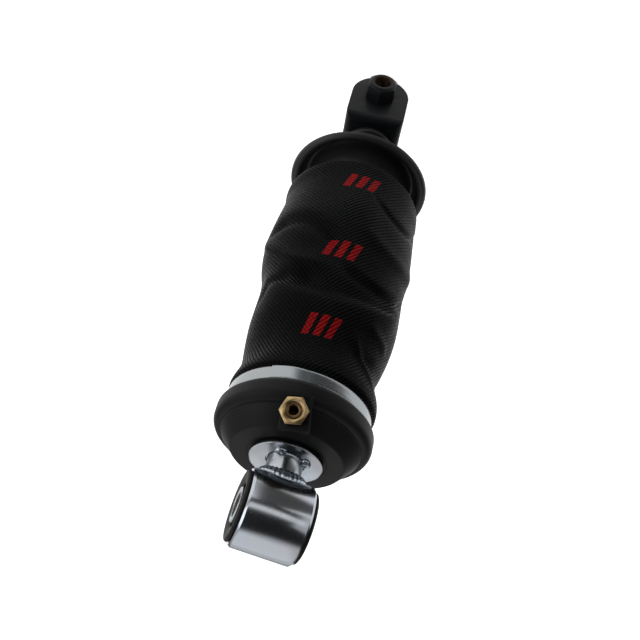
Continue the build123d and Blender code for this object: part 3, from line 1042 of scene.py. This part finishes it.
# %% Ribs
RIB_COUNT = 100
CLOTH_RADIUS = 42.0       # a fair mean
cord, cord_shader, cord_place = blank("ribbed_cloth", Specular_IOR_Level=0.025)
cord_tree = cord.node_tree
sheet_map = Wire(cord_tree, cord_tree.nodes.new("ShaderNodeTexCoord").outputs["UV"])
round_share = 0.5 - sheet_map.dot((1, 0, 0))
above_foot = sheet_map.dot((0, 1, 0)) * cloth_length - fold_length
girth = 2 * math.pi * CLOTH_RADIUS
spiral = above_foot * (RIB_COUNT / girth)


def wave(turns):
    """A sine that repeats at each whole turn."""
    return (turns * (2 * math.pi)).maths("SINE")


def ribs(phase):
    return wave(phase) * 0.5 + 0.5


left_ribs = ribs(round_share * RIB_COUNT - spiral)
right_ribs = ribs(round_share * RIB_COUNT + spiral)
right_weight = ramp(wave(round_share), -0.45, 0.35)
left_weight = ramp(0.0 - wave(round_share), -0.35, 0.45)
rib_height = left_ribs * (0.1 + 0.9 * left_weight) + right_ribs * (0.1 + 0.9 * right_weight)
print(RIB_COUNT, "ribs, one every", round(girth / RIB_COUNT, 2), "mm")

# %% Printed marks
MARKS = ((5, 107), (3, 162), (2, 214))    # each one's turn and height
BAR_PITCH = 7.0
BAR_WIDTH = 4.2
BAR_SLANT = 0.3
MARK_WIDTH = 20.0
MARK_HEIGHT = 12.0


def inside(value, half):
    """1 where a value lies within half of 0, with a thin soft edge."""
    return 1.0 - ramp(value.maths("ABSOLUTE"), half - 0.15, half + 0.15)


print_share = None
for mark_turn, mark_height in MARKS:
    across = (round_share - mark_turn / 360) * girth
    along = above_foot - (mark_height - cloth_foot)
    slant = across + BAR_SLANT * along
    bars = (slant + BAR_PITCH).maths("PINGPONG", BAR_PITCH / 2)
    edges = inside(slant, MARK_WIDTH / 2) * inside(along, MARK_HEIGHT / 2)
    mark = inside(bars, BAR_WIDTH / 2) * edges
    print_share = mark if print_share is None else print_share + mark

# %% Cloth material
cloud = noise(cord_place, 60.0, 4.0)
fibre = noise(cord_place, 2500.0, 2.0)
# Painted light: a lighter band down the front of the cloth, where it faces the light.
painted_lit_panel = inside(round_share - 0.02, 0.045) * 0.6
# Painted shade: the grooves between the ribs are coloured darker than the rib crests.
tone = blend_colours(ramp(rib_height, 0.2, 0.9), (0.0006, 0.0006, 0.0006), (0.0036, 0.0036, 0.0040))
tone = blend_colours(painted_lit_panel, tone, (0.0065, 0.007, 0.008))
tone = blend_colours(ramp(cloud, 0.5, 0.8) * 0.4, tone, (0.007, 0.007, 0.0075))
worn = print_share * (0.55 + 0.45 * ramp(rib_height, 0.15, 0.6)) * (1.0 - 0.4 * fibre)
tone = blend_colours(worn, tone, (0.34, 0.006, 0.008))
feed(cord_tree, cord_shader.inputs["Base Color"], tone)
feed(cord_tree, cord_shader.inputs["Roughness"], 0.36 + 0.16 * cloud)
relief = bump(rib_height * 0.8 + fibre * 0.2, 0.0011, 1.0)
feed(cord_tree, cord_shader.inputs["Normal"], relief)
cloth.data.materials.append(cord)

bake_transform(cloth)
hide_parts("bellows")
print(cloth.name, len(cloth.data.polygons), "faces")

# %% Inner limb of the bellows
limb_inside = FOLD_MIDDLE - FOLD_SIZE
limb_top = 144.0          # where the lower clamp holds it, out of sight
limb_outline = [
    (limb_inside, cloth_foot),
    (limb_inside + SHEET, cloth_foot),
    (limb_inside + SHEET, limb_top),
    (limb_inside, limb_top),
]
limb = turned("bellows_inner_limb", limb_outline)
limb.data.materials.append(rubber)
fit(limb, "lower_body", "bellows_fabric")

# %% [markdown]
# ## Clamp strip
# The strip that holds the bellows on the cap is thin galvanised steel, lapped over itself. A grid
# is wrapped a little more than once round, and its last stretch climbs over the first.

# %% Strip
STRIP_WALL = 0.65
LAP = 14.0                # degrees
SEAM = -12.0              # degrees from the front
strip_foot = ring_low.z / MM
strip_width = ring_high.z / MM - strip_foot
ROLLED_IN = 0.25          # how far its edges are pressed in

bpy.ops.object.select_all(action="DESELECT")
bpy.ops.mesh.primitive_grid_add(x_subdivisions=300, y_subdivisions=6, size=1)
strip = bpy.context.object
strip.name = "clamp_strip"
sheet = points(strip)
turn = np.radians(SEAM - (sheet[:, 0] + 0.5) * (360 + LAP))
climb = smooth(sheet[:, 0] + 0.5, 1 - 2 * LAP / 360, 1 - LAP / 360)
reach = clamp_inside + STRIP_WALL + 0.05 + climb * STRIP_WALL
reach -= ROLLED_IN * smooth(np.abs(sheet[:, 1]), 0.38, 0.5)
place = np.column_stack((
    -reach * np.sin(turn),
    -reach * np.cos(turn),
    strip_foot + (sheet[:, 1] + 0.5) * strip_width,
))
move_points(strip, place * MM)
thicken = strip.modifiers.new("thicken", "SOLIDIFY")
thicken.thickness = STRIP_WALL * MM
thicken.offset = -1
apply_all(strip)
soften(strip, 0.12, 2, 50)
clean(strip, 40)
strip.data.materials.append(strip_steel)
fit(strip, "head", "clamp_steel", "upper_clamp_ring")

# %% [markdown]
# ## Piston foot, tube and stem
# The bellows rolls on a moulded piston. Its foot flares out into a dish with a rounded lip, and
# the damper's tube passes through it. Below, a stem joins the tube to the fork.

# %% Piston foot
dish_radius = dish_high.x / MM
dish_foot = dish_low.z / MM
lip_top = dish_foot + 19.0
skirt_radius = 30.0
tube_radius = 22.0

foot_outline = [
    (tube_radius + 0.05, dish_high.z / MM),
    (tube_radius + 0.05, dish_foot),
    *curve((skirt_radius - 3.0, dish_foot), (41.0, dish_foot + 14.0), (dish_radius, lip_top - 3.0)),
    *arc(dish_radius - 3.0, lip_top - 3.0, 3.0, 18, 170, 9),
    *curve((dish_radius - 5.5, lip_top - 3.5), (33.2, dish_foot + 4.5), (skirt_radius, lip_top)),
    (skirt_radius, dish_high.z / MM - 1.0),
    (skirt_radius - 1.0, dish_high.z / MM),
]
foot = turned("piston_foot", foot_outline, 160)
foot.data.materials.append(satin)
fit(foot, "lower_body", "black_plastic", "rolling_piston")

# %% Tube and stem
tube_low, tube_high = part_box("damper_tube")
tube_foot = tube_low.z / MM
tube_top = tube_high.z / MM
tube_outline = [
    (tube_radius - 2.0, tube_foot),
    *arc(tube_radius - 1.5, tube_foot + 1.5, 1.5, -90, 0, 5),
    (tube_radius, tube_top - 1.5),
    (tube_radius - 1.5, tube_top),
    (15.0, tube_top),
    (15.0, tube_top - 1.5),
    (tube_radius - 2.0, tube_top - 1.5),
]
tube = turned("damper_shell", tube_outline)
tube.data.materials.append(paint)
fit(tube, "lower_body", "black_paint", "damper_tube")

stem_radius = 14.0
spigot = 9.0
plate_top = fork_high.z / MM
plate = 5.0
stem_outline = [
    (4.0, plate_top - plate),
    (spigot, plate_top - plate),
    (spigot, plate_top),
    (stem_radius, plate_top),
    (stem_radius, tube_foot),
    (4.0, tube_foot),
]
stem = turned("stem_bar", stem_outline)
stem.data.materials.append(paint)
fit(stem, "lower_body", "black_paint", "fork_stem")

collar_outline = [
    (stem_radius - 0.5, plate_top),
    (stem_radius + 2.9, plate_top),
    (stem_radius + 3.0, plate_top + 1.4),
    *arc(stem_radius + 1.4, plate_top + 1.8, 1.6, 5, 80, 5),
    (stem_radius - 0.5, plate_top + 5.0),
]
stem_bead = turned("stem_bead", collar_outline)
stem_bead.data.materials.append(satin)
fit(stem_bead, "lower_body", "black_paint", "stem_weld")

# %% [markdown]
# ## The fork
# The fork is one plate bent into a U. A block is rounded along its two bends and hollowed by a
# smaller block, which leaves the U. The ears' round ends and the bolt holes are cut afterwards. The
# nut on the front ear is welded on, so the bolt needs no spanner from that side.

# %% Fork bracket
BEND = 5.5
EAR_HOLE = 6.25
fork_half = fork_high.x / MM
span_half = 24.4


def block(name, width, depth, low, high):
    """A box centred on the upright axis, from one height to another."""
    bpy.ops.object.select_all(action="DESELECT")
    bpy.ops.mesh.primitive_cube_add(size=1)
    piece = bpy.context.object
    piece.name = name
    size = Matrix.Diagonal((width * MM, depth * MM, (high - low) * MM, 1))
    return put(piece, Matrix.Translation((0, 0, (low + high) / 2 * MM)) @ size)


def bend(piece, width, top):
    """Round the two upper edges that run across the fork."""
    only(piece)
    bpy.ops.object.mode_set(mode="EDIT")
    bpy.ops.mesh.select_all(action="DESELECT")
    bpy.ops.object.mode_set(mode="OBJECT")
    for edge in piece.data.edges:
        ends = [piece.data.vertices[i].co for i in edge.vertices]
        level = all(abs(end.z - top * MM) < 1e-6 for end in ends)
        edge.select = level and abs(ends[0].y - ends[1].y) < 1e-6
    bpy.ops.object.mode_set(mode="EDIT")
    bpy.ops.mesh.select_mode(type="EDGE")
    bpy.ops.mesh.bevel(offset=width * MM, segments=10, profile=0.5, affect="EDGES")
    bpy.ops.object.mode_set(mode="OBJECT")
    return piece


sideways = Matrix.Rotation(math.radians(90), 4, "X")
fork = block("fork_plate", 2 * fork_half, 2 * span_half, -fork_half, plate_top)
bend(fork, BEND, plate_top)
inner_depth = 2 * (span_half - plate)
hollow = block("hollow", 3 * fork_half, inner_depth, -2 * fork_half, plate_top - plate)
carve(fork, bend(hollow, BEND - plate, plate_top - plate))

ear_end = turned("ear_end", [(fork_half, -60), (fork_half, 60)], 128, solid=True)
put(ear_end, sideways)
upper = block("upper", 2 * fork_half + 2, 80, 0, plate_top + 2)
carve(ear_end, upper, "UNION")
carve(fork, ear_end, "INTERSECT")
hole = turned("hole", [(EAR_HOLE, -60), (EAR_HOLE, 60)], 64, solid=True)
carve(fork, put(hole, sideways))
stem_hole = turned("stem_hole", [(spigot, 0), (spigot, plate_top + 5)], 64, solid=True)
carve(fork, stem_hole)
soften(fork, 0.7, 3, 40)
clean(fork, 30)
fork.data.materials.append(paint)
fit(fork, "lower_body", "black_paint", "fork_bracket")

# %% Weld nut
NUT_FLATS = 18.0
NUT_RING = 7.5            # radius of its flat top
NUT_TRIM = 2.0            # how far down its corners are trimmed
nut_depth = -nut_low.y / MM - span_half
nut = hexagon("ear_nut", NUT_FLATS, 0, nut_depth, NUT_RING, NUT_TRIM)
thread_outline = [(5.7, -1), (5.7, nut_depth - 0.4), (6.1, nut_depth), (6.1, nut_depth + 1)]
carve(nut, turned("thread", thread_outline, 96, solid=True))
soften(nut, 0.15, 2, 40)
clean(nut, 30)
put(nut, frame_on(Vector((0, -span_half * MM, 0)), Vector((0, -1, 0)), Vector((0, 0, 1))))
nut.data.materials.append(nut_paint)
fit(nut, "lower_body", "black_paint", "fork_nut")

# %% [markdown]
# ## Hidden parts
# The valve, the piston, the rod and the seals stay as the frame draws them, because nothing of
# them shows until the damper is cut open. They only need finishes.

# %% Finishes of the hidden parts
hidden = {
    "tube_base_cap": paint,
    "base_valve": machined,
    "inner_cylinder": machined,
    "rod_guide": cast,
    "rod_seal": rubber,
    "bellows_seat_ring": rubber,
    "lower_clamp_ring": strip_steel,
    "damper_piston": machined,
    "piston_band": band,
    "piston_rod": chromed,
    "piston_nut": machined,
    "rebound_ring": machined,
    "bump_stop": foam,
    "cap_seal": rubber,
}
for node, finish in hidden.items():
    slots = bpy.data.objects[node].data.materials
    slots.clear()
    slots.append(finish)
print(len(hidden), "hidden parts given finishes")
